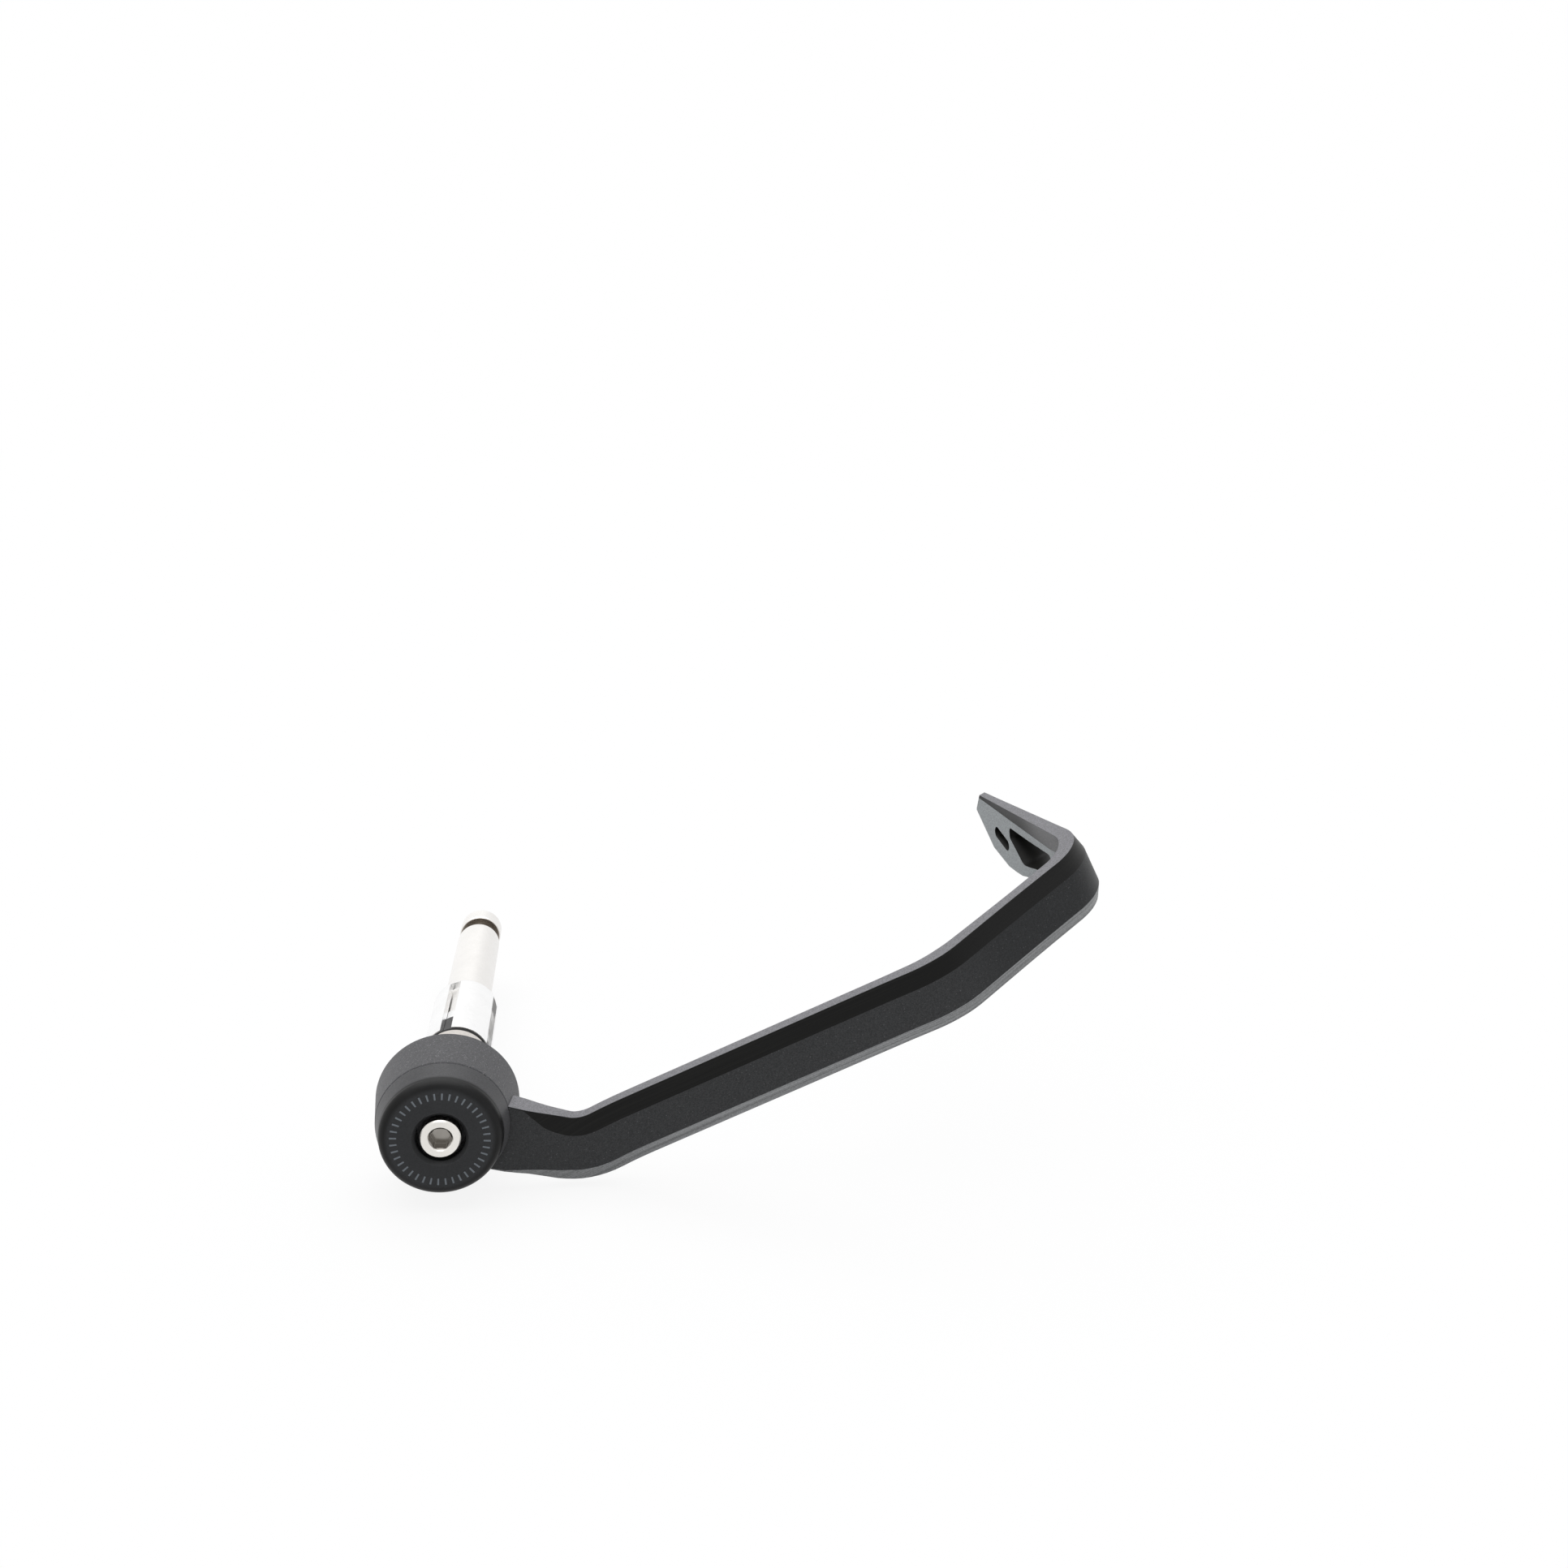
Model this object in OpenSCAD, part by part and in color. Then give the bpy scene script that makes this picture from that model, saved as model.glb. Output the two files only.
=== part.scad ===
// Lever guard for a handlebar end: one machined arm held by a clamp that fills the open tube.
// The origin is on the clamp axis, in the seat face where the handlebar tube ends.
// +Y runs into the handlebar, +X runs out along the arm, +Z is up. Sizes are millimetres.

/* [Bar end] */
// diameter of the flat face of the end cap
cap_d = 30; // [26:0.5:34]
// length of the end cap along the clamp axis
cap_len = 8.2; // [6:0.1:12]
// length of the conical weight along the clamp axis
weight_len = 14.8; // [12:0.1:20]
// diameter of the weight at its seat face
seat_d = 36.1; // [32:0.1:42]
// thickness of the arm's eye between cap and weight
eye_t = 7.4; // [5:0.1:10]

/* [Screw] */
// nominal thread diameter
screw_d = 6; // [5:1:8]
// head diameter
head_d = 10; // [8.5:0.5:13]
// width of the hexagon socket across its flats
socket_af = 5; // [4:1:6]
// length under the head
screw_len = 75; // [60:5:90]

/* [Handlebar insert] */
// outside diameter of the clamp sleeve, the bore of the handlebar tube
sleeve_d = 18.5; // [14:0.1:20]
// distance from the seat face to the near end of the sleeve
sleeve_start = 25.2; // [20:0.1:32]
// length of the sleeve
sleeve_len = 36; // [28:0.5:44]
// number of slots round the sleeve
slot_count = 4; // [3:1:6]
// width of each slot
slot_w = 3.2; // [1.5:0.1:4]
// turn of the first slot from +X towards +Z
slot_turn = 79; // [0:1:89]
// diameter of the inner damper bar
damper_d = 13.4; // [10:0.1:15]
// distance from the seat face to the far end of the damper bar
insert_reach = 134; // [110:1:160]
// length of the groove near the end of the damper bar
groove_len = 7; // [3:0.5:10]
// length of the collar behind the groove
end_collar_len = 7.8; // [4:0.2:12]

/* [Arm] */
// angle by which the root drops below the blade's line
drop_angle = 45.3; // [30:0.1:55]
// depth of the blade's centre line below the clamp axis
blade_drop = 25.7; // [18:0.1:34]
// height of the blade
blade_h = 17.4; // [13:0.1:22]
// thickness of the blade's top face along the straight
blade_t = 3.7; // [3:0.1:6]
// radius of the bend between root and blade
bend_r = 15.6; // [12:0.1:30]
// how far the blade's centre line starts in front of the seat face
start_out = 8.9; // [6:0.1:12]
// distance of the knee from the clamp axis
knee_x = 126.6; // [100:0.1:150]
// how far the knee lies in front of the seat face
knee_out = 23.3; // [15:0.1:32]
// radius of the knee
knee_r = 23; // [16:0.5:40]
// distance of the outer corner from the clamp axis
corner_x = 175.2; // [150:0.1:200]
// radius of the outer corner
corner_r = 16; // [12:0.5:24]
// distance of the tip's end from the clamp axis
tip_x = 166.5; // [145:0.1:190]
// reach of the tip past the seat face, measured into the handlebar side
tip_y = 70.9; // [45:0.1:85]

/* [Preview] */
// name of one sub-part, or all

/* [Hidden] */
$fn = 96;

slip = 0.15;                                  // clearance of the arm in its pocket
eps = 0.5;                                    // overrun of a cutting tool
rim_gap = 0.35;                               // open joint between the cap's rim and the weight
cap_front = -weight_len - cap_len;
eye_back = -weight_len + eye_t;
weight_front_d = cap_d + 3;
eye_d = cap_d - 2.2;                          // eye of the arm, hidden under the cap's rim
head_h = screw_d;
counterbore_d = head_d + 2.1;
clear_d = screw_d + 0.6;
thread_d = screw_d + 0.1;                     // threads are plain holes, a little larger than the screw
tap_len = 3 * screw_d;                        // threaded length in the damper bar
collar_d = sleeve_d - 0.5;
foot_d = collar_d - 1.2;                      // foot of the collar, let into the weight
foot_len = 2;
relief = 0.3;                                 // depth of the weight's face let in round the collar
ring_t = 1.3;
ring_start = sleeve_start - ring_t;
cone_len = 13.1;
nut_start = sleeve_start + cone_len;
nut_len = 5.2;
nut_d = damper_d + 0.6;
sleeve_bore = nut_d + 0.2;
cone_big_d = sleeve_bore + 1.6;
cone_fit = 0.1;
damper_start = nut_start + nut_len;
groove_d = damper_d - 5.4;
groove_start = insert_reach - end_collar_len - groove_len;

// root, bend and blade of the arm, seen from the side
vertex_len = blade_drop / sin(drop_angle);
bend_back = bend_r * tan(drop_angle / 2);
root_len = vertex_len - bend_back;
bend_arc = bend_r * drop_angle * PI / 180;
blade_x0 = vertex_len * cos(drop_angle) + bend_back;
bend_cx = root_len * cos(drop_angle) + bend_r * sin(drop_angle);
bend_cz = -root_len * sin(drop_angle) + bend_r * cos(drop_angle);
unroll = root_len + bend_arc - blade_x0;      // added to x to get the length along the arm
half_h = blade_h / 2;
bend_x = blade_x0 + 1.4;

// corners of the arm's centre line in plan, as length along the arm and distance along the clamp axis
eye_mid = -weight_len + eye_t / 2;
plan = [[0, eye_mid], [0.74 * root_len, eye_mid], [bend_x + unroll, -start_out], [knee_x + unroll, -knee_out],
        [corner_x + unroll, 0], [tip_x + unroll, tip_y]];
plan_r = [0, 40, 60, knee_r, corner_r, 0];

// lays a shape drawn along +Z down along the clamp axis, from y
module along_y(y) { translate([0, y, 0]) rotate([-90, 0, 0]) children(); }

function unit(v) = v / norm(v);
function heading(i) = let (d = plan[i + 1] - plan[i]) atan2(d[1], d[0]);
function turn(i) = heading(i) - heading(i - 1);
function setback(i) = plan_r[i] == 0 ? 0 : plan_r[i] * tan(abs(turn(i)) / 2);

// legs of the centre line: length, start, heading, turn over the leg
function straight(i) =
    let (step = plan[i + 1] - plan[i], a = setback(i), b = setback(i + 1))
    [norm(step) - a - b, plan[i] + unit(step) * a, heading(i), 0];
function bend(i) =
    let (entry = plan[i] - unit(plan[i] - plan[i - 1]) * setback(i))
    [plan_r[i] * abs(turn(i)) * PI / 180, entry, heading(i - 1), turn(i)];
legs = [for (i = [0 : len(plan) - 2]) each (i == 0 ? [straight(0)] : [bend(i), straight(i)])];
function start_of(i) = i == 0 ? 0 : start_of(i - 1) + legs[i - 1][0];
tip_s = start_of(len(legs));
knee_s = start_of(5) + legs[5][0] / 2;
corner_s = start_of(7) + legs[7][0] / 2;

// point and heading at length s along the centre line
function on_leg(leg, s) =
    leg[3] == 0 ? concat(leg[1] + s * [cos(leg[2]), sin(leg[2])], leg[2])
    : let (side = sign(leg[3]), r = leg[0] / abs(leg[3]) * 180 / PI, h = leg[2] + leg[3] * s / leg[0],
           c = leg[1] + side * r * [-sin(leg[2]), cos(leg[2])])
      concat(c + side * r * [sin(h), -cos(h)], h);
function walk(s, i = 0) =
    (s <= legs[i][0] || i == len(legs) - 1) ? on_leg(legs[i], s) : walk(s - legs[i][0], i + 1);

// side view: place of a point at length u along the arm and height b above its centre line
function side_view(u, b) =
    u <= root_len ? [u * cos(drop_angle) + b * sin(drop_angle), b * cos(drop_angle) - u * sin(drop_angle)]
    : u <= root_len + bend_arc ?
        let (a = drop_angle - (u - root_len) / bend_r * 180 / PI)
        [bend_cx - (bend_r - b) * sin(a), bend_cz - (bend_r - b) * cos(a)]
    : [blade_x0 + u - root_len - bend_arc, b - blade_drop];

// point of the arm at length s, a outwards from the centre line and drop below the top face
function arm_point(s, a, drop) =
    let (p = walk(s), q = [p[0], p[1]] + a * [sin(p[2]), -cos(p[2])], e = side_view(q[0], half_h - drop))
    [e[0], q[1], e[1]];

// places along the arm: in root lengths from the clamp axis, in blade heights past the knee and the corner,
// and in reaches of the tip back from its end
function root(k) = k * root_len;
function knee(k) = knee_s + k * blade_h;
function corner(k) = corner_s + k * blade_h;
function tip(k) = tip_s - k * tip_y;

// How the section changes along the arm. Each row is a place with a share of blade_t for a distance across,
// or a share of blade_h for a depth below the top of the blade.
top_t = [[root(0.45), eye_t / blade_t - 0.04], [root(0.61), 1.83], [root(0.81), 1.3], [root(0.95), 1.07],
         [root(1.08), 0.98], [knee(-0.8), 1], [knee(-0.1), 1.18], [knee(0.15), 1.24], [knee(0.5), 1.09],
         [knee(1.4), 0.97], [corner(-0.75), 0.97], [corner(-0.25), 1.15], [corner(0.15), 1.17],
         [corner(0.5), 1.06], [tip(0.75), 0.96], [tip(0.46), 0.77], [tip(0.19), 0.58], [tip(0), 0.48]];
top_drop = [[tip(0.033), 0], [tip(0), 0.23]];
top_lean = [[tip(0.033), 0], [tip(0), 0.5]];
bulge = [[root(0.6), 0.01], [root(0.81), 0.04], [root(1.2), 0.22], [knee(0), 0.24], [knee(1), 0.3],
         [corner(0), 0.34], [tip(0.71), 0.34], [tip(0), 0.3]];
facet_drop = [[root(0.6), 0.01], [root(0.83), 0.24], [root(0.95), 0.27], [tip(0.15), 0.27], [tip(0), 0.25]];
low_drop = [[tip(0.48), 1], [tip(0.29), 0.96], [tip(0.15), 0.82], [tip(0), 0.29]];
chamfer_h = [[root(0.55), 0.01], [root(0.81), 0.1], [root(1.1), 0.19], [tip(0.29), 0.19], [tip(0.033), 0.06],
             [tip(0), 0.02]];
chamfer_in = [[root(0.55), 0.01], [root(0.81), 0.3], [root(1.1), 0.43], [tip(0), 0.43]];
wall_out = [[root(0.6), 0.01], [root(1.3), 0.1], [corner(0.2), 0.1], [tip(0.86), 0.03], [tip(0.45), 0.08],
            [tip(0.033), 0.14], [tip(0), 0.52]];
wall_drop = [[root(0.6), 0.01], [root(1.3), 0.14], [corner(-0.6), 0.14], [corner(0.2), 0.36],
             [tip(0.71), 0.385], [tip(0.31), 0.185], [tip(0.085), 0.065], [tip(0.033), 0.04], [tip(0), 0.24]];
lobe_out = [[root(0.6), 0.01], [root(1.3), 0.27], [corner(0), 0.27], [tip(0.75), 0.5], [tip(0.66), 0.66],
            [tip(0.48), 1.29], [tip(0.42), 1.41], [tip(0.29), 1.46], [tip(0.15), 1.29], [tip(0), 0.57]];
lobe_drop = [[root(0.6), 0.99], [root(1.3), 0.89], [corner(0), 0.89], [tip(0.66), 0.95], [tip(0.48), 1.03],
             [tip(0.42), 1.055], [tip(0.36), 1.045], [tip(0.29), 1.01], [tip(0.15), 0.8], [tip(0), 0.265]];
// the inner face's middle corner: its share of the way from wall to lobe, and how far it stands proud
face_share = [[corner(-0.4), 0.17], [corner(0.3), 0.5]];
face_bulge = [[root(0.6), 0], [root(1.3), 0.09], [corner(-0.4), 0.09], [tip(0.75), 0.015]];

// nine corners of the section at length s, from the inner top edge round by the outer side
function thick(s, rows) = blade_t * lookup(s, rows);
function deep(s, rows) = blade_h * lookup(s, rows);
function section(s) =
    let (t = thick(s, top_t) / 2, top = deep(s, top_drop), o = t + thick(s, bulge), low = deep(s, low_drop),
         wall = [t + thick(s, wall_out), deep(s, wall_drop)],
         lobe = [t + thick(s, lobe_out), deep(s, lobe_drop)],
         face = wall + (lobe - wall) * lookup(s, face_share) + [thick(s, face_bulge), 0])
    [arm_point(s, -t - thick(s, top_lean), top), arm_point(s, t, top), arm_point(s, o, deep(s, facet_drop)),
     arm_point(s, o, low - deep(s, chamfer_h)), arm_point(s, o - thick(s, chamfer_in), low),
     arm_point(s, -lobe[0] + min(1, thick(s, lobe_out)), max(low, lobe[1] + 0.15)),
     arm_point(s, -lobe[0], lobe[1]), arm_point(s, -face[0], face[1]), arm_point(s, -wall[0], wall[1])];

// n lengths evenly from a to b, without a itself
function upto(a, b, n) = [for (j = [1 : n]) a + (b - a) * j / n];
function sorted(v) =
    len(v) == 0 ? []
    : let (m = v[floor(len(v) / 2)])
      concat(sorted([for (x = v) if (x < m - 0.2) x]), [m], sorted([for (x = v) if (x > m + 0.2) x]));
tip_marks = [0, 0.033, 0.085, 0.15, 0.19, 0.24, 0.29, 0.33, 0.36, 0.39, 0.42, 0.45, 0.48, 0.54, 0.6, 0.66,
             0.71, 0.75];
stations = sorted(concat([for (k = [0.27, 0.5, 0.61, 0.72, 0.81, 0.9, 1]) root(k)],
                         upto(root_len, root_len + bend_arc, 9),
                         upto(root_len + bend_arc, start_of(4), 3),
                         [knee(-2.6), knee(-1.5), knee(-0.8)],
                         upto(start_of(5) - 3, start_of(6), 10),
                         [knee(0.8), knee(1.4), corner(-1.2)],
                         upto(start_of(7), start_of(8), 14),
                         [for (k = tip_marks) tip(k)]));

module arm_body() {
    rings = [for (s = stations) section(s)];
    k = len(rings[0]);
    n = len(rings);
    polyhedron(
        points = [for (r = rings) each r],
        faces = concat([[for (i = [0 : k - 1]) i]], [[for (i = [k - 1 : -1 : 0]) (n - 1) * k + i]],
                       [for (j = [0 : n - 2], i = [0 : k - 1])
                           let (a = j * k + i, b = j * k + (i + 1) % k)
                           each [[a, a + k, b], [b, a + k, b + k]]]));
}

// hole through the fin of the tip, drawn in the Y-Z plane and cut along X
module fin_cut() { translate([tip_x - 20, 0, 0]) rotate([90, 0, 90]) linear_extrude(45) children(); }

slot_mid = [tip_y - 17.7, -27.1];
slot_half = 3.3;
slot_r = 1.65;
slot_lean = 22;
// corners of the window in the fin, each with its radius
window = [[tip_y - 24.7, -24, 1.2], [tip_y - 24.7, -25.2, 1.2], [tip_y - 33.2, -27.9, 4],
          [tip_y - 46.3, -30, 1.6], [tip_y - 48.3, -26.7, 1.2]];

module obround() {
    translate(slot_mid) rotate(slot_lean) {
        square([2 * slot_half, 2 * slot_r], center = true);
        for (side = [-1, 1]) translate([side * slot_half, 0]) circle(slot_r, $fn = 32);
    }
}

module guard_arm() color([0.42, 0.43, 0.45]) difference() {
    union() {
        along_y(-weight_len) cylinder(d = eye_d, h = eye_t);
        arm_body();
    }
    along_y(-weight_len - eps) cylinder(d = clear_d, h = eye_t + 2 * eps);
    fin_cut() obround();
    fin_cut() hull() for (p = window) translate([p[0], p[1]]) circle(p[2], $fn = 32);
}

module end_cap() color([0.17, 0.17, 0.18]) difference() {
    rim_r = cap_d / 2;
    round_r = 2.4;
    back_r = weight_front_d / 2 - 0.15;
    boss_r = eye_d / 2 - 0.4;
    rotate([-90, 0, 0]) rotate_extrude() polygon(concat([[0, cap_front]],
        [for (a = [0 : 9 : 90]) [rim_r - round_r + round_r * sin(a), cap_front + round_r * (1 - cos(a))]],
        [[back_r, -weight_len - rim_gap], [boss_r, -weight_len - rim_gap], [boss_r, -weight_len],
         [0, -weight_len]]));
    along_y(cap_front - eps) cylinder(d = counterbore_d, h = head_h + eps);
    along_y(cap_front - 0.01) cylinder(d1 = counterbore_d + 1.8, d2 = counterbore_d, h = 0.9);
    along_y(cap_front) cylinder(d = clear_d, h = cap_len + eps);
}

module cap_screw() color([0.75, 0.74, 0.72]) difference() {
    socket_d = socket_af / cos(30);           // across the hexagon's corners
    socket_depth = screw_d / 2;
    thread_chamfer = 1;
    union() {
        along_y(cap_front) cylinder(d1 = head_d - 0.8, d2 = head_d, h = 0.4);
        along_y(cap_front + 0.4) cylinder(d = head_d, h = head_h - 0.4);
        along_y(cap_front + head_h) cylinder(d = screw_d, h = screw_len - thread_chamfer);
        along_y(cap_front + head_h + screw_len - thread_chamfer)
            cylinder(d1 = screw_d, d2 = screw_d - 1.6, h = thread_chamfer);
    }
    along_y(cap_front - eps) rotate([0, 0, 30]) cylinder(d = socket_d, h = socket_depth + eps, $fn = 6);
    along_y(cap_front - 0.01) cylinder(d1 = socket_d + 0.6, d2 = socket_d - 0.6, h = 0.6);
}

module bar_weight() color([0.40, 0.41, 0.42]) difference() {
    edge = 0.4;
    r1 = weight_front_d / 2;
    r2 = seat_d / 2;
    rotate([-90, 0, 0]) rotate_extrude() polygon([
        [0, -weight_len], [r1 - edge, -weight_len], [r1, -weight_len + edge],
        [r2, -edge * 2], [r2 - edge * 2, 0], [0, 0]]);
    along_y(eye_back - 2 * eps) cylinder(d = clear_d, h = -eye_back - foot_len + 3 * eps);
    along_y(-foot_len) cylinder(d = foot_d + 0.2, h = foot_len + eps);
    along_y(-relief) cylinder(d = collar_d + 0.2, h = relief + eps);
    along_y(-weight_len - eps) rotate(drop_angle) linear_extrude(eye_t + eps) pocket();
}

// outline of the arm's eye and root, with their clearance
module pocket() {
    circle(d = eye_d + 2 * slip);
    translate([0, -half_h - slip]) square([seat_d, blade_h + 2 * slip]);
}

module seat_collar() color([0.86, 0.85, 0.82]) difference() {
    union() {
        along_y(-foot_len) cylinder(d = foot_d, h = foot_len);
        along_y(0) cylinder(d = collar_d, h = ring_start - 0.5);
        along_y(ring_start - 0.5) cylinder(d1 = collar_d, d2 = collar_d - 0.6, h = 0.5);
    }
    along_y(-foot_len - eps) cylinder(d = clear_d, h = ring_start + foot_len + 2 * eps);
}

module rubber_ring() color([0.06, 0.06, 0.06]) difference() {
    along_y(ring_start) cylinder(d = collar_d - 0.4, h = ring_t);
    along_y(ring_start - eps) cylinder(d = cone_big_d + 0.2, h = ring_t + 2 * eps);
}

module expander_cone() color([0.10, 0.10, 0.11]) difference() {
    union() {
        along_y(ring_start) cylinder(d = cone_big_d - cone_fit, h = ring_t);
        along_y(sleeve_start) cylinder(d1 = cone_big_d - cone_fit, d2 = sleeve_bore - cone_fit, h = cone_len);
    }
    along_y(ring_start - eps) cylinder(d = clear_d, h = cone_len + ring_t + 2 * eps);
}

module cone_nut() color([0.88, 0.88, 0.88]) difference() {
    along_y(nut_start) cylinder(d = nut_d, h = nut_len);
    along_y(nut_start - eps) cylinder(d = thread_d, h = nut_len + 2 * eps);
}

module clamp_sleeve() color([0.90, 0.90, 0.90]) difference() {
    web = 1;                                  // closed ring behind the slots
    union() {
        along_y(sleeve_start) cylinder(d = sleeve_d, h = sleeve_len - web);
        along_y(sleeve_start + sleeve_len - web) cylinder(d1 = sleeve_d - 0.3, d2 = sleeve_d - 0.9, h = web);
    }
    along_y(sleeve_start - eps) cylinder(d = sleeve_bore, h = sleeve_len + 2 * eps);
    along_y(sleeve_start - 0.01) cylinder(d1 = cone_big_d, d2 = sleeve_bore, h = cone_len + 0.01);
    for (i = [0 : slot_count - 1])
        rotate([0, -slot_turn - i * 360 / slot_count, 0])
            translate([0, sleeve_start - eps, -slot_w / 2])
                cube([sleeve_d, sleeve_len - 0.8 * web + eps, slot_w]);
}

module damper_bar() color([0.86, 0.86, 0.86]) difference() {
    edge = 0.4;
    r = damper_d / 2;
    rotate([-90, 0, 0]) rotate_extrude() polygon([
        [0, damper_start], [r - edge, damper_start], [r, damper_start + edge],
        [r, groove_start - edge], [r - edge, groove_start], [groove_d / 2, groove_start],
        [groove_d / 2, groove_start + groove_len], [r - edge, groove_start + groove_len],
        [r, groove_start + groove_len + edge], [r, insert_reach - edge], [r - edge, insert_reach],
        [0, insert_reach]]);
    along_y(damper_start - eps) cylinder(d = thread_d, h = tap_len + eps);
}

end_cap();
cap_screw();
guard_arm();
bar_weight();
seat_collar();
rubber_ring();
expander_cone();
cone_nut();
clamp_sleeve();
damper_bar();
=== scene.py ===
"""Looks of the lever guard: its finishes, the smooth arm, and a plain studio."""

from __future__ import annotations

import logging
import math
from dataclasses import dataclass, field
from enum import Enum
from typing import Any

import bmesh
import bpy
import numpy as np
from mathutils import Matrix, Vector


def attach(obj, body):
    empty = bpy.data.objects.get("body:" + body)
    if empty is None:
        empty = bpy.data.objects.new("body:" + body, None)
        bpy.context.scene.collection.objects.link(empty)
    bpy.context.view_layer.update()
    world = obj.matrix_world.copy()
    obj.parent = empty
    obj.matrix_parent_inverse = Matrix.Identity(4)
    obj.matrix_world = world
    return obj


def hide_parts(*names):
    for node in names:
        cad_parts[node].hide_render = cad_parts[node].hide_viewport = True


LOG = logging.getLogger("lever_guard")
MM = 0.001

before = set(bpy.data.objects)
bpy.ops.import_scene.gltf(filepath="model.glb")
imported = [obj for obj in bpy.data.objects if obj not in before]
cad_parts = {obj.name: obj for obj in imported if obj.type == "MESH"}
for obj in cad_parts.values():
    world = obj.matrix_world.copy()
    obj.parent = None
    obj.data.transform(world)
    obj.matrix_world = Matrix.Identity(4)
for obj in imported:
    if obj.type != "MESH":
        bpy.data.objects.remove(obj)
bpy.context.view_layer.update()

Colour = tuple[float, float, float]
Place = tuple[float, float, float]
Span = tuple[float, float]

WHITE: Colour = (1.0, 1.0, 1.0)


class Blend(Enum):
    """How two colours are put together."""

    MIX = "MIX"
    MULTIPLY = "MULTIPLY"


class Sum(Enum):
    """What a Math node works out."""

    ADD = "ADD"
    SUBTRACT = "SUBTRACT"
    MULTIPLY = "MULTIPLY"
    DIVIDE = "DIVIDE"
    POWER = "POWER"
    SINE = "SINE"
    ANGLE = "ARCTAN2"
    FRACTION = "FRACT"
    SIZE = "ABSOLUTE"
    LARGER = "MAXIMUM"


class Ray(Enum):
    """Kinds of ray that see the pale surroundings."""

    CAMERA = "Is Camera Ray"
    GLOSSY = "Is Glossy Ray"
    TRANSMISSION = "Is Transmission Ray"


class Flats(Enum):
    """The arm's face attributes, each with three masks that place painted light and shade."""

    BLADE = "flats"
    TIP = "tip_flats"


@dataclass(frozen=True)
class Grain:
    """A noise pattern: its grains per metre, and how many finer layers it has."""

    scale: float
    detail: float


@dataclass(frozen=True)
class Tint:
    """A colour laid where a pattern is high: over which values it comes in, and how strongly."""

    colour: Colour
    rise: Span
    strength: float


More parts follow.
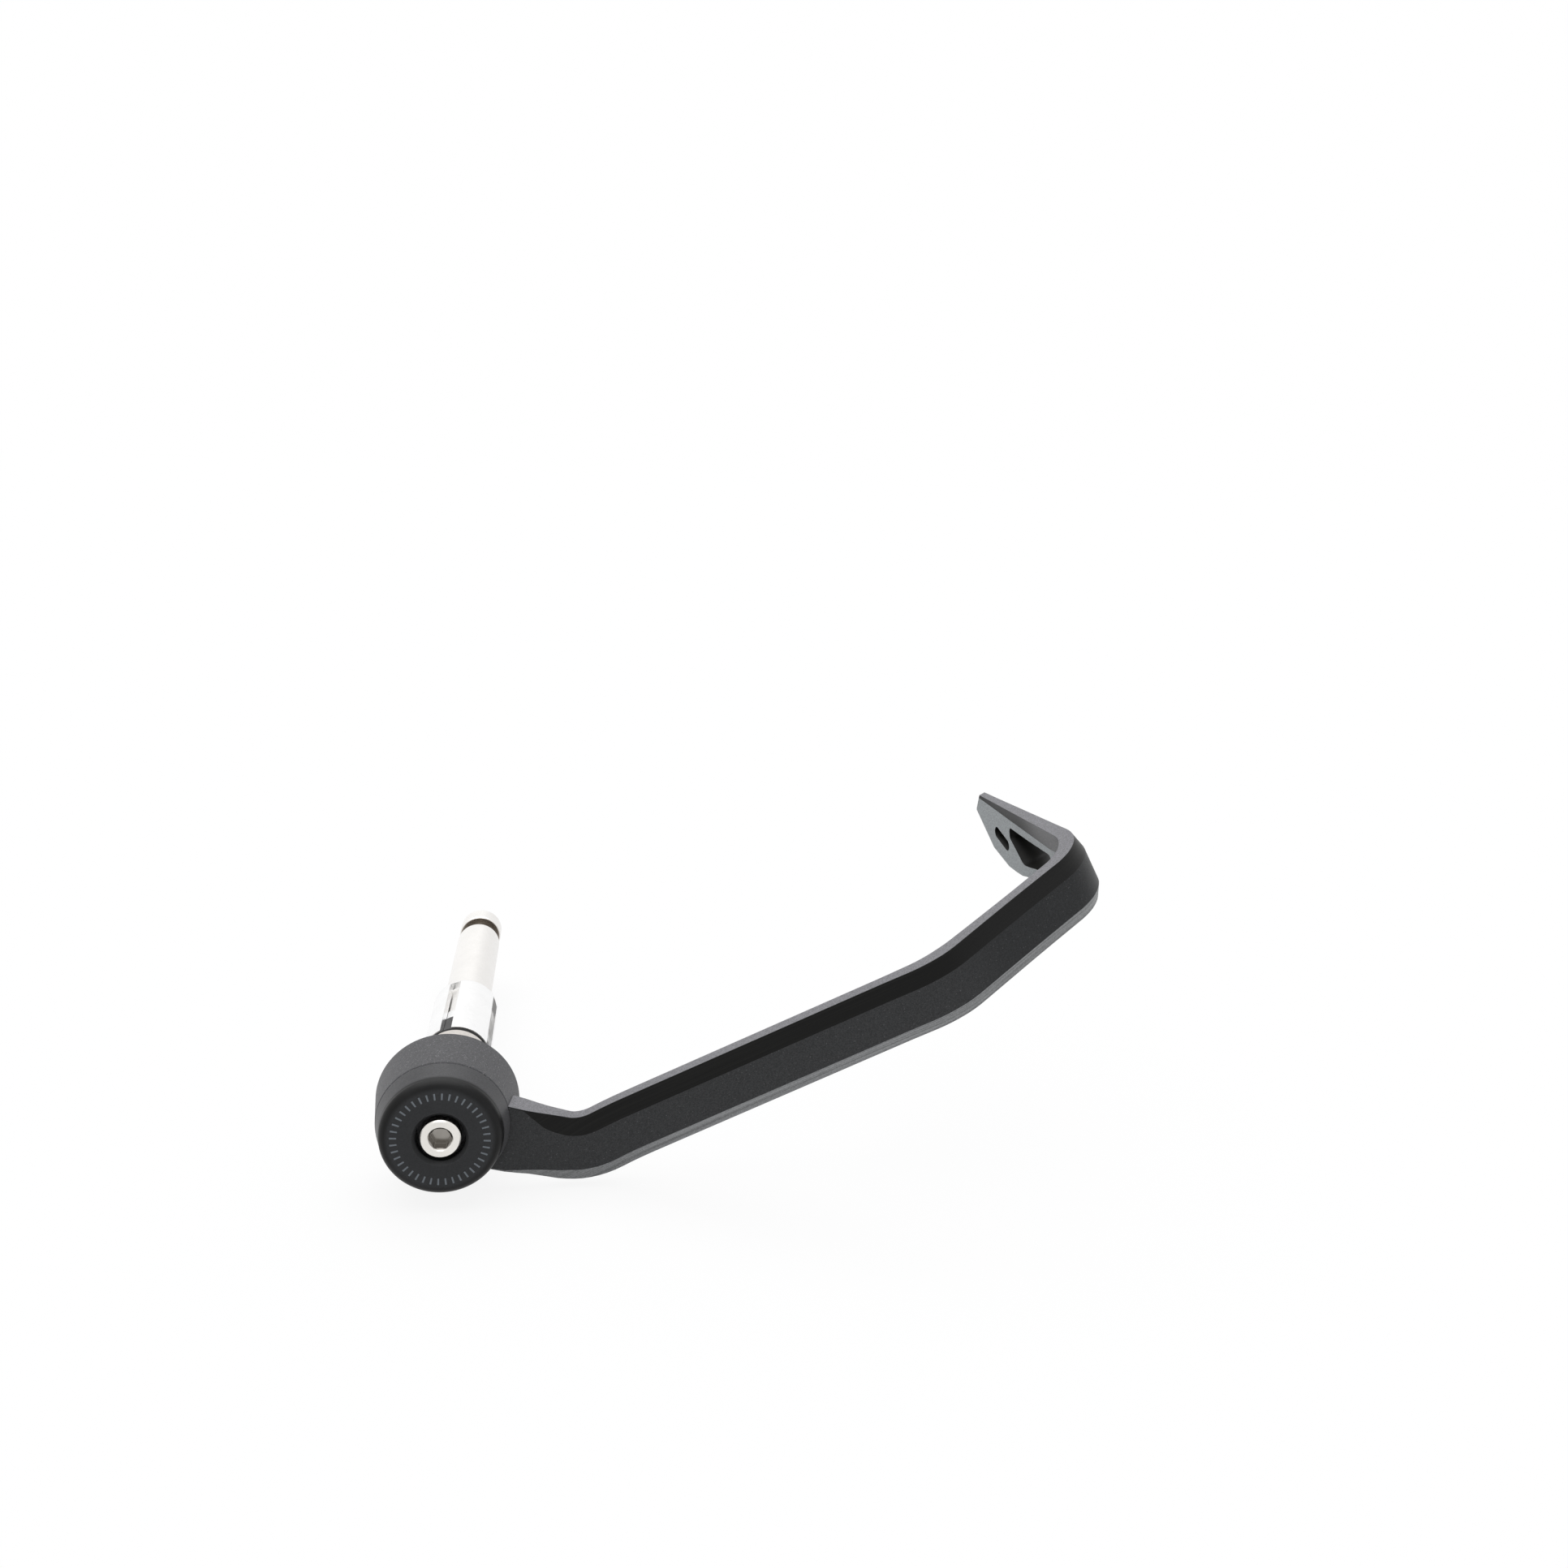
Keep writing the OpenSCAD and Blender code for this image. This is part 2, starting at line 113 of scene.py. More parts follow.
class Graph:
    """Nodes of one tree, all added by one method."""

    noise_roughness = 0.55

    def __init__(self, tree: bpy.types.NodeTree) -> None:
        """Starts an empty tree."""
        self.tree = tree
        tree.nodes.clear()

    def add(
        self, kind: str, settings: dict[str, Any] | None = None, **values: Any
    ) -> bpy.types.Node:
        """Adds a node.

        Args:
            kind: The node's type.
            settings: Properties that are set before the sockets are filled.
            **values: Socket names, spaces written as underscores, or i and the socket's number.
                Each has a number, a colour, a vector or a Wire.

        Returns:
            The new node.
        """
        node = self.tree.nodes.new(kind)
        for key, value in (settings or {}).items():
            setattr(node, key, value)
        for key, value in values.items():
            numbered = key[0] == "i" and key[1:].isdigit()
            socket = node.inputs[int(key[1:]) if numbered else key.replace("_", " ")]
            self.fill(socket, value)
        return node

    def fill(self, socket: bpy.types.NodeSocket, value: Any) -> None:
        """Gives a socket its value or its link.

        Args:
            socket: The input.
            value: A number, a colour, a vector or a Wire.
        """
        if isinstance(value, Wire):
            self.tree.links.new(value.socket, socket)
        elif socket.type == "RGBA" and len(value) == 3:
            socket.default_value = (*value, 1.0)
        else:
            socket.default_value = value

    def wire(self, node: bpy.types.Node, output: str | int = 0) -> Wire:
        """Wraps an output of a node."""
        return Wire(self, node.outputs[output])

    def math(self, operation: Sum, *values: Wire | float) -> Wire:
        """Adds a Math node on one or two values and returns its result."""
        numbered = {f"i{k}": value for k, value in enumerate(values)}
        return self.wire(self.add("ShaderNodeMath", {"operation": operation.value}, **numbered))

    def point(self) -> Wire:
        """Returns the surface point in the object's own coordinates, in metres."""
        return self.wire(self.add("ShaderNodeTexCoord"), "Object")

    def axes(self) -> tuple[Wire, Wire, Wire]:
        """Returns the x, y and z of the surface point."""
        split = self.add("ShaderNodeSeparateXYZ", Vector=self.point())
        return self.wire(split, 0), self.wire(split, 1), self.wire(split, 2)

    def channels(self, colour: Wire) -> tuple[Wire, Wire, Wire]:
        """Returns the three channels of a colour."""
        split = self.add("ShaderNodeSeparateColor", Color=colour)
        return self.wire(split, 0), self.wire(split, 1), self.wire(split, 2)

    def attribute(self, flats: Flats) -> tuple[Wire, Wire, Wire]:
        """Returns the three masks of one of the arm's face attributes."""
        node = self.add("ShaderNodeAttribute", {"attribute_name": flats.value})
        return self.channels(self.wire(node, "Color"))

    def vector(self, x: Wire | float, y: Wire | float, z: Wire | float) -> Wire:
        """Joins three numbers to a vector."""
        return self.wire(self.add("ShaderNodeCombineXYZ", X=x, Y=y, Z=z))

    def radius(self, x: Wire, z: Wire) -> Wire:
        """Returns the distance from the clamp's axis, the root of x squared plus z squared."""
        return (x * x + z * z) ** 0.5

    def noise(self, grain: Grain, at: Wire | None = None) -> Wire:
        """Makes a noise pattern around 0.5.

        Args:
            grain: The pattern.
            at: The place to read it at, the surface point if left out.

        Returns:
            The noise.
        """
        place = self.point() if at is None else at
        return self.wire(self.add(
            "ShaderNodeTexNoise", Vector=place, Scale=grain.scale, Detail=grain.detail,
            Roughness=self.noise_roughness))

    def specks(self, scale: float) -> Wire:
        """Makes a random shade for each small grain of a surface, the first channel of its cell.

        Args:
            scale: Grains per metre.

        Returns:
            The shade, from 0 to 1.
        """
        cells = self.add(
            "ShaderNodeTexVoronoi", {"feature": "F1"}, Vector=self.point(), Scale=scale)
        shade, _, _ = self.channels(self.wire(cells, "Color"))
        return shade

    def rings(self, along: Wire, pitch: float, waver: Wire | float = 0.0) -> Wire:
        """Returns lathe rings from 0 to 1, a sine of the place in pitches, shifted by a waver."""
        return (along * (2 * math.pi / pitch) + waver).sine() * 0.5 + 0.5

    def colour(
        self, mask: Wire | float, low: Wire | Colour, high: Wire | Colour,
        how: Blend = Blend.MIX,
    ) -> Wire:
        """Goes from the low colour to the high one as the mask goes from 0 to 1.

        Args:
            mask: The share of the high colour.
            low: The colour where the mask is 0.
            high: The colour where it is 1, or by which the low one is then multiplied.
            how: How the two are put together.

        Returns:
            The colour.
        """
        node = self.add("ShaderNodeMix", {"data_type": "RGBA", "blend_type": how.value})
        for socket in node.inputs:
            if socket.name == "Factor" and socket.type == "VALUE":
                self.fill(socket, mask)
            elif socket.type == "RGBA":
                self.fill(socket, low if socket.name == "A" else high)
        return Wire(self, next(socket for socket in node.outputs if socket.type == "RGBA"))

    def tinted(
        self, tone: Wire | Colour, pattern: Wire, tint: Tint, where: Wire | float = 1.0
    ) -> Wire:
        """Lays a tint over a tone, as far as the pattern, the mask where and its strength say."""
        return self.colour(pattern.step(*tint.rise) * (where * tint.strength), tone, tint.colour)

    def speckled(
        self, tone: Wire | Colour, specks: Wire, shades: Span, strength: float
    ) -> Wire:
        """Multiplies a tone by greys that go from the first shade to the second with the specks."""
        shade = self.colour(specks, grey(shades[0]), grey(shades[1]))
        return self.colour(strength, tone, shade, Blend.MULTIPLY)

    def pale(self) -> Wire:
        """Finds the rays that see the pale surroundings.

        Returns:
            1 for a ray of any kind that Ray names, otherwise 0.
        """
        path = self.add("ShaderNodeLightPath")
        first, *others = [self.wire(path, kind.value) for kind in Ray]
        for other in others:
            first = self.math(Sum.LARGER, first, other)
        return first


class Wire:
    """One output socket that takes part in arithmetic."""

    def __init__(self, graph: Graph, socket: bpy.types.NodeSocket) -> None:
        """Wraps a socket of the graph."""
        self.graph = graph
        self.socket = socket

    def __add__(self, other: Wire | float) -> Wire:
        """Adds."""
        return self.graph.math(Sum.ADD, self, other)

    def __radd__(self, other: float) -> Wire:
        """Adds, reflected."""
        return self.graph.math(Sum.ADD, other, self)

    def __sub__(self, other: Wire | float) -> Wire:
        """Subtracts."""
        return self.graph.math(Sum.SUBTRACT, self, other)

    def __rsub__(self, other: float) -> Wire:
        """Subtracts, reflected."""
        return self.graph.math(Sum.SUBTRACT, other, self)

    def __mul__(self, other: Wire | float) -> Wire:
        """Multiplies."""
        return self.graph.math(Sum.MULTIPLY, self, other)

    def __rmul__(self, other: float) -> Wire:
        """Multiplies, reflected."""
        return self.graph.math(Sum.MULTIPLY, other, self)

    def __truediv__(self, other: Wire | float) -> Wire:
        """Divides."""
        return self.graph.math(Sum.DIVIDE, self, other)

    def __pow__(self, other: float) -> Wire:
        """Raises to a power."""
        return self.graph.math(Sum.POWER, self, other)

    def sine(self) -> Wire:
        """Returns the sine."""
        return self.graph.math(Sum.SINE, self)

    def swing(self, amount: float) -> Wire:
        """Returns how far a value is from its middle, 0.5, times an amount."""
        return (self - 0.5) * amount

    def step(self, start: float, end: float) -> Wire:
        """Ramps smoothly from 0 at start to 1 at end, and holds both.

        Args:
            start: The value up to which the ramp is 0.
            end: The value from which it is 1.

        Returns:
            The ramp.
        """
        settings = {"interpolation_type": "SMOOTHSTEP"}
        return self.graph.wire(self.graph.add(
            "ShaderNodeMapRange", settings, Value=self, From_Min=start, From_Max=end))

    def between(self, start: float, end: float, fade: float) -> Wire:
        """Returns 1 between two values and 0 outside, with a ramp as wide as fade after each."""
        return self.step(start, start + fade) * (1.0 - self.step(end, end + fade))


class Finish(Graph):
    """A material: its tree, its surface shader and the softened edges that all finishes share."""

    edge_samples = 6
    # The ramp of the edge mask; finishes lighten those edges as wear and as painted highlights.
    edge_ramp: Span = (0.01, 0.12)

    def __init__(self, name: str, edge: float, **constants: float) -> None:
        """Starts a material.

        Args:
            name: The material's name.
            edge: Radius to which edges are softened.
            **constants: Sockets of the shader that are the same all over, spaces written as
                underscores.
        """
        self.material = bpy.data.materials.new(name)
        self.material.use_nodes = True
        super().__init__(self.material.node_tree)
        self.shader = self.add("ShaderNodeBsdfPrincipled", **constants)
        self.add("ShaderNodeOutputMaterial", Surface=self.wire(self.shader))
        self.soft = self.wire(
            self.add("ShaderNodeBevel", {"samples": self.edge_samples}, Radius=edge))

    def edge_mask(self) -> Wire:
        """Finds edges: how far the softened normal turns from the plain one, by their product.

        Returns:
            1 on edges and 0 away from them.
        """
        plain = self.wire(self.add("ShaderNodeNewGeometry"), "Normal")
        both = self.add(
            "ShaderNodeVectorMath", {"operation": "DOT_PRODUCT"}, i0=self.soft, i1=plain)
        return (1.0 - self.wire(both, "Value")).step(*self.edge_ramp)

    def done(
        self, colour: Wire, roughness: Wire, height: Wire, depth: float
    ) -> bpy.types.Material:
        """Connects the shader.

        Args:
            colour: The base colour.
            roughness: The roughness.
            height: Relief of the surface, from 0 to 1.
            depth: Depth of the relief in metres.

        Returns:
            The finished material.
        """
        bump = self.wire(self.add(
            "ShaderNodeBump", Height=height, Distance=depth, Strength=1.0, Normal=self.soft))
        for name, value in (("Base Color", colour), ("Roughness", roughness), ("Normal", bump)):
            self.fill(self.shader.inputs[name], value)
        return self.material


def grey(shade: float) -> Colour:
    """Returns a neutral colour."""
    return shade, shade, shade


def scaled(colour: Colour, factor: float) -> Colour:
    """Returns a colour times a number."""
    return colour[0] * factor, colour[1] * factor, colour[2] * factor


@dataclass(frozen=True)
class MilledArm:
    """Dark anodising on a milled arm, in painted light and shade by flat: light top edge and
    chamfer with lines, dark outer flats.
    """

    name: str = "arm_grey"
    edge: float = 0.2 * MM
    ior: float = 1.27
    # The outer flats and the facet above them, near the grip and past the far bend, in painted
    # shade: one anodising drawn in darker tones by the way each flat faces.
    plain: Colour = (0.032, 0.033, 0.034)
    dark: Colour = (0.0015, 0.0015, 0.0012)
    far_plain: Colour = (0.020, 0.021, 0.022)
    far_dark: Colour = (0.0055, 0.0055, 0.0055)
    far_x: Span = (124 * MM, 148 * MM)
    # The chamfer, the top edge, and the tip's inner side from the corner to its end, with painted
    # light and shade.
    # The chamfer and top edge are lighter partly for their milled look and partly as painted light.
    milled: Colour = (0.185, 0.190, 0.192)
    top: Colour = (0.188, 0.187, 0.199)
    # Painted light on the leaning flat, painted shade on the upright band that lightens in the
    # fillet, and painted shade in the holes.
    inner: Colour = (0.280, 0.300, 0.307)
    band: Colour = (0.004, 0.004, 0.005)
    fillet: Colour = (0.100, 0.100, 0.103)
    hole: Colour = (0.002, 0.002, 0.0015)
    corner_y: Span = (0.0, 14 * MM)
    inner_y: Span = (9 * MM, 22 * MM)
    fillet_y: Span = (20 * MM, 42 * MM)
    # Lines that the cutter left along the arm: how dense across it, and how fast they waver.
    lines: Grain = Grain(1.0, 2.0)
    line_density: float = 1900.0
    line_waver: float = 14.0
    line_light: Tint = Tint((0.34, 0.35, 0.35), (0.42, 0.68), 0.42)
    line_deep: Tint = Tint((0.075, 0.077, 0.078), (0.48, 0.70), 0.45)
    line_dark: Tint = Tint((0.010, 0.010, 0.009), (0.45, 0.75), 0.5)
    # Grain of the anodising, its brightest specks, and edges rubbed by hands and lightened as
    # painted highlights.
    grain: Grain = Grain(5200.0, 1.5)
    cloud: Grain = Grain(70.0, 3.0)
    speck_scale: float = 4800.0
    speck_shades: Span = (0.62, 1.42)
    speck_strength: float = 0.8
    speck_bright: Tint = Tint((0.20, 0.20, 0.21), (0.985, 0.998), 0.22)
    wear_and_highlight: Colour = (0.22, 0.225, 0.23)
    wear_and_highlight_least: float = 0.2
    wear_and_highlight_cloud: float = 0.4
    roughness: float = 0.42
    grain_swing: float = 0.25
    cloud_swing: float = 0.12
    smoother: float = 0.6
    depth: float = 0.012 * MM

    def outer_tone(self, g: Finish, x: Wire, dark: Wire) -> Wire:
        """Works out the painted shade of the outer flats, darker on the facet, which changes past
        the far bend.

        Args:
            g: The material.
            x: The place along the blade.
            dark: The facet's mask.

        Returns:
            The tone.
        """
        far = x.step(*self.far_x)
        plain = g.colour(far, self.plain, self.far_plain)
        return g.colour(dark, plain, g.colour(far, self.dark, self.far_dark))

    def inner_tones(self, g: Finish, y: Wire) -> tuple[Wire, Wire]:
        """Works out the painted light and shade of the tip's inner side, which change from the
        corner to its end.

        Args:
            g: The material.
            y: The place along the tip.

        Returns:
            The tones of the leaning flat and of the upright band.
        """
        upright = g.colour(y.step(*self.fillet_y), self.fillet, self.band)
        upright = g.colour(y.step(*self.corner_y), self.plain, upright)
        return g.colour(y.step(*self.inner_y), upright, self.inner), upright

    def build(self) -> bpy.types.Material:
        """Makes the material. The mesh's attributes tell the milled flats from each other, and each
        flat gets its own painted light or shade.

        Returns:
            The material.
        """
        g = Finish(self.name, edge=self.edge, IOR=self.ior)
        x, y, z = g.axes()
        dark, milled, top = g.attribute(Flats.BLADE)
        inner, band, hole = g.attribute(Flats.TIP)
        along = g.vector(z * self.line_density, (x + y) * self.line_waver, 0.0)
        lines = g.noise(self.lines, along)
        grain = g.noise(self.grain)
        cloud = g.noise(self.cloud)
        specks = g.specks(self.speck_scale)
        leaning, upright = self.inner_tones(g, y)
        # Painted light and shade: each flat of the one anodising gets its own tone.
        tone = self.outer_tone(g, x, dark)
        tone = g.colour(milled, tone, self.milled)
        tone = g.colour(top, tone, self.top)
        tone = g.colour(inner, tone, leaning)
        tone = g.colour(band, tone, upright)
        tone = g.speckled(tone, specks, self.speck_shades, self.speck_strength)
        tone = g.tinted(tone, lines, self.line_light, milled)
        tone = g.tinted(tone, 1.0 - lines, self.line_deep, milled)
        tone = g.tinted(tone, lines, self.line_dark, dark)
        tone = g.tinted(tone, specks, self.speck_bright, 1.0 - dark)
        # Lighter edges: wear together with painted highlights.
        wear_and_highlight_share = g.edge_mask() * (self.wear_and_highlight_least + self.wear_and_highlight_cloud * cloud)
        tone = g.colour(wear_and_highlight_share, tone, self.wear_and_highlight)
        # Painted shade in the holes.
        tone = g.colour(hole, tone, self.hole)
        cut = dark + milled
        relief = grain * (1.0 - self.smoother * cut) + lines * cut
        rough = self.roughness + grain.swing(self.grain_swing) + cloud.swing(self.cloud_swing)
        return g.done(tone, rough, relief, self.depth)


@dataclass(frozen=True)
class TurnedAnodised:
    """Grey anodising on a turned weight: fine speckle, faint rings, lighter edges."""

    name: str = "weight_grey"
    edge: float = 0.3 * MM
    ior: float = 1.3
    base: Colour = (0.086, 0.086, 0.090)
    grain: Grain = Grain(4800.0, 1.5)
    cloud: Grain = Grain(80.0, 3.0)
    speck_scale: float = 5000.0
    speck_shades: Span = (0.62, 1.4)
    speck_strength: float = 0.7
    speck_bright: Tint = Tint((0.36, 0.36, 0.37), (0.955, 0.985), 0.36)
    # Lighter edges: wear together with painted highlights.
    wear_and_highlight: Colour = (0.2064, 0.2064, 0.2160)
    wear_and_highlight_share: float = 0.4
    pitch: float = 0.35 * MM
    waver: float = 4.0
    roughness: float = 0.50
    grain_swing: float = 0.25
    ring_swing: float = 0.06
    ring_height: float = 0.35
    depth: float = 0.012 * MM

    def build(self) -> bpy.types.Material:
        """Makes the material. The rings follow the distance along the clamp's axis.

        Returns:
            The material.
        """
        g = Finish(self.name, edge=self.edge, IOR=self.ior)
        _, y, _ = g.axes()
        specks = g.specks(self.speck_scale)
        grain = g.noise(self.grain)
        rings = g.rings(y, self.pitch, g.noise(self.cloud) * self.waver)
        tone = g.speckled(self.base, specks, self.speck_shades, self.speck_strength)
        tone = g.tinted(tone, specks, self.speck_bright)
        tone = g.colour(g.edge_mask() * self.wear_and_highlight_share, tone, self.wear_and_highlight)
        rough = self.roughness + grain.swing(self.grain_swing) + rings.swing(self.ring_swing)
        return g.done(tone, rough, grain + rings * self.ring_height, self.depth)


@dataclass(frozen=True)
class MouldedCap:
    """Satin dark polymer cap: spark-eroded grain, painted shade on the rim's rounding and round the
    screw, painted light on the wall, edges lighter from rubbing and painted highlights, and a plain
    ring of printed ticks.
    """

    name: str = "cap_polymer"
    edge: float = 0.3 * MM
    ior: float = 1.3
    # The face, the rounding of its rim in painted shade, the wall behind it in painted light, and
    # the dish round the screw in painted shade.
    face: Colour = (0.0215, 0.0225, 0.0240)
    round: Colour = (0.0015, 0.0015, 0.0015)
    side: Colour = (0.072, 0.072, 0.075)
    dish: Colour = (0.0086, 0.0090, 0.0096)
    face_y: float = -23.0 * MM
    side_y: Span = (-20.6 * MM, -19.4 * MM)
    rim_radius: Span = (12.3 * MM, 13.6 * MM)
    dish_radius: Span = (6.6 * MM, 7.0 * MM)
    dish_strength: float = 0.6
    # The ticks: their number, the ring they fill, and half their width in tick pitches.
    ticks: int = 40
    ring: Span = (10.3 * MM, 12.0 * MM)
    tick_half: Span = (0.10, 0.14)
    print_tone: Colour = (0.17, 0.19, 0.21)
    print_least: float = 0.65
    print_grain: float = 0.3
    print_fade: float = 0.1 * MM
    # Grain of the mould, and the worn edges.
    grain: Grain = Grain(5200.0, 2.0)
    cloud: Grain = Grain(90.0, 3.0)
    speck_scale: float = 4200.0
    speck_shades: Span = (0.8, 1.2)
    speck_strength: float = 0.8
    bloom: Tint = Tint((0.03225, 0.03375, 0.0360), (0.35, 0.75), 0.25)
    # Lighter edges: wear together with painted highlights.
    wear_and_highlight: Colour = (0.12, 0.12, 0.125)
    wear_and_highlight_share: float = 0.2
    roughness: float = 0.40
    grain_swing: float = 0.2
    cloud_swing: float = 0.1
    depth: float = 0.014 * MM

    def tick_mask(self, g: Finish, x: Wire, y: Wire, z: Wire, radius: Wire) -> Wire:
        """Finds the ticks, where the angle in tick pitches is near a whole number and a half.

        Args:
            g: The material.
            x: The surface point's x.
            y: Its place along the clamp's axis.
            z: Its z.
            radius: Its distance from that axis.

        Returns:
            1 on the ticks and 0 beside them.
        """
        turn = g.math(Sum.ANGLE, z, x) * (self.ticks / (2 * math.pi))
        near = g.math(Sum.SIZE, g.math(Sum.FRACTION, turn + self.ticks) - 0.5)
        within = radius.between(*self.ring, self.print_fade)
        start = self.face_y + self.print_fade
        front = 1.0 - y.step(start, start + self.print_fade)
        return (1.0 - near.step(*self.tick_half)) * within * front

    def build(self) -> bpy.types.Material:
        """Makes the material. Face, rounding, wall and dish are told apart by place, each with its
        painted light or shade.

        Returns:
            The material.
        """
        g = Finish(self.name, edge=self.edge, IOR=self.ior)
        x, y, z = g.axes()
        radius = g.radius(x, z)
        ticks = self.tick_mask(g, x, y, z, radius)
        grain = g.noise(self.grain)
        cloud = g.noise(self.cloud)
        side = y.step(*self.side_y)
        rim = radius.step(*self.rim_radius) * (1.0 - side)
        # Painted shade in the dish round the screw.
        dish = (1.0 - radius.step(*self.dish_radius)) * self.dish_strength
        tone = g.colour(rim, self.face, self.round)
        tone = g.colour(dish, tone, self.dish)
        tone = g.colour(side, tone, self.side)
        specks = g.specks(self.speck_scale)
        tone = g.speckled(tone, specks, self.speck_shades, self.speck_strength)
        tone = g.tinted(tone, cloud, self.bloom)
        ink = ticks * (self.print_least + self.print_grain * grain)
        tone = g.colour(ink, tone, self.print_tone)
        tone = g.colour(g.edge_mask() * self.wear_and_highlight_share, tone, self.wear_and_highlight)
        rough = self.roughness + grain.swing(self.grain_swing) + cloud.swing(self.cloud_swing)
        return g.done(tone, rough, grain, self.depth)


@dataclass(frozen=True)
class BrightMetal:
    """Bright metal turned on a lathe: fine rings about the clamp's axis, faint handling marks."""

    name: str
    base: Colour = (0.975, 0.967, 0.950)
    edge: float = 0.15 * MM
    # Rings and clouds, each with the share of the base colour that is left in its darkest part.
    pitch: float = 0.30 * MM
    waver: float = 3.0
    ring_shade: float = 0.6
    ring_strength: float = 0.09
    cloud: Grain = Grain(140.0, 3.0)
    cloud_shade: float = 0.86
    cloud_rise: Span = (0.3, 0.8)
    cloud_strength: float = 0.35
    # Painted shade on the flanks of the insert, by how far x is from the axis.
    flank_shade: float = 0.1
    flank_shade_share: float = 0.66
    flank: Span = (0.55, 1.0)
    flank_y: Span = (-2 * MM, 0.0)
    # The screw's socket, with 0 for pieces that have none, and the damper's groove, both darkened
    # as painted shade.
    hollow: float = 0.0
    hollow_fade: float = 0.15 * MM
    hollow_y: Span = (-22.9 * MM, -22.6 * MM)
    hollow_tone: Colour = (0.060, 0.045, 0.030)
    hollow_least: float = 0.60
    hollow_cloud: float = 0.2
    groove: Span = (119.0 * MM, 126.2 * MM)
    groove_fade: float = 0.2 * MM
    groove_tone: Colour = (0.21, 0.17, 0.13)
    groove_strength: float = 0.75
    marks: Grain = Grain(900.0, 2.0)
    mark_swing: float = 0.12
    mark_height: float = 0.5
    roughness: float = 0.26
    ring_swing: float = 0.08
    depth: float = 0.0022 * MM

    def shade_hollows(self, g: Finish, tone: Wire, radius: Wire, y: Wire, cloud: Wire) -> Wire:
        """Paints shade into hollows: a warm dark in a screw's socket, or a brown dark in the
        damper's groove.

        Args:
            g: The material.
            tone: The colour beneath.
            radius: The distance from the clamp's axis.
            y: The place along that axis.
            cloud: The clouds.

        Returns:
            The colour.
        """
        if self.hollow:
            inside = 1.0 - radius.step(self.hollow - self.hollow_fade, self.hollow)
            deep = inside * y.step(*self.hollow_y)
            mask = deep * (self.hollow_least + self.hollow_cloud * cloud)
            return g.colour(mask, tone, self.hollow_tone)
        mask = y.between(*self.groove, self.groove_fade) * self.groove_strength
        return g.colour(mask, tone, self.groove_tone)

    def build(self) -> bpy.types.Material:
        """Makes the material. The rings follow y plus the radius, so ends have them as well.

        Returns:
            The material.
        """
        g = Finish(self.name, edge=self.edge, Metallic=1.0)
        x, y, z = g.axes()
        radius = g.radius(x, z)
        cloud = g.noise(self.cloud)
        rings = g.rings(y + radius, self.pitch, cloud * self.waver)
        marks = g.noise(self.marks)
        clouded = Tint(scaled(self.base, self.cloud_shade), self.cloud_rise, self.cloud_strength)
        tone = g.tinted(self.base, cloud, clouded)
        ringed = (1.0 - rings) * self.ring_strength
        tone = g.colour(ringed, tone, scaled(self.base, self.ring_shade))
        # Painted shade on the flanks, where x nears the radius.
        flank = (g.math(Sum.SIZE, x) / radius).step(*self.flank) * y.step(*self.flank_y)
        tone = g.colour(flank * self.flank_shade, tone, scaled(self.base, self.flank_shade_share))
        tone = self.shade_hollows(g, tone, radius, y, cloud)
        rough = self.roughness + rings.swing(self.ring_swing) + marks.swing(self.mark_swing)
        return g.done(tone, rough, rings + marks * self.mark_height, self.depth)


@dataclass(frozen=True)
class DarkCone:
    """Black anodised cone, satin, with turning rings."""

    name: str = "cone_black"
    edge: float = 0.15 * MM
    ior: float = 1.35
    base: Colour = (0.010, 0.010, 0.011)
    light: Colour = (0.020, 0.020, 0.022)
    light_strength: float = 0.5
    # Lighter edges: wear together with painted highlights.
    wear_and_highlight: Colour = (0.1, 0.1, 0.1)
    wear_and_highlight_share: float = 0.5
    grain: Grain = Grain(4200.0, 2.0)
    pitch: float = 0.25 * MM
    ring_height: float = 0.6
    roughness: float = 0.38
    grain_swing: float = 0.2
    depth: float = 0.006 * MM

    def build(self) -> bpy.types.Material:
        """Makes the material. The rings follow the distance along the clamp's axis.

        Returns:
            The material.
        """
        g = Finish(self.name, edge=self.edge, IOR=self.ior)
        _, y, _ = g.axes()
        grain = g.noise(self.grain)
        rings = g.rings(y, self.pitch)
        tone = g.colour(grain * self.light_strength, self.base, self.light)
        tone = g.colour(g.edge_mask() * self.wear_and_highlight_share, tone, self.wear_and_highlight)
        rough = self.roughness + grain.swing(self.grain_swing)
        return g.done(tone, rough, rings * self.ring_height + grain, self.depth)


@dataclass(frozen=True)
class DustyRubber:
    """Black rubber with a dusty bloom."""

    name: str = "ring_rubber"
    edge: float = 0.2 * MM
    ior: float = 1.35
    base: Colour = (0.008, 0.008, 0.008)
    dust: Grain = Grain(900.0, 3.0)
    bloom: Tint = Tint((0.05, 0.05, 0.05), (0.45, 0.8), 0.3)
    roughness: float = 0.72
    dust_swing: float = 0.25
    depth: float = 0.03 * MM

    def build(self) -> bpy.types.Material:
        """Makes the material.

        Returns:
            The material.
        """
        g = Finish(self.name, edge=self.edge, IOR=self.ior)
        dust = g.noise(self.dust)
        tone = g.tinted(self.base, dust, self.bloom)
        return g.done(tone, self.roughness + dust.swing(self.dust_swing), dust, self.depth)


def dress(finishes: dict[str, bpy.types.Material]) -> dict[str, str]:
    """Puts one material on every slot of each CAD node.

    Args:
        finishes: The material of each node.

    Returns:
        The material's name for each node.
    """
    for node, material in finishes.items():
        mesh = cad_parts[node].data
        mesh.materials.clear()
        mesh.materials.append(material)
    return {node: material.name for node, material in finishes.items()}


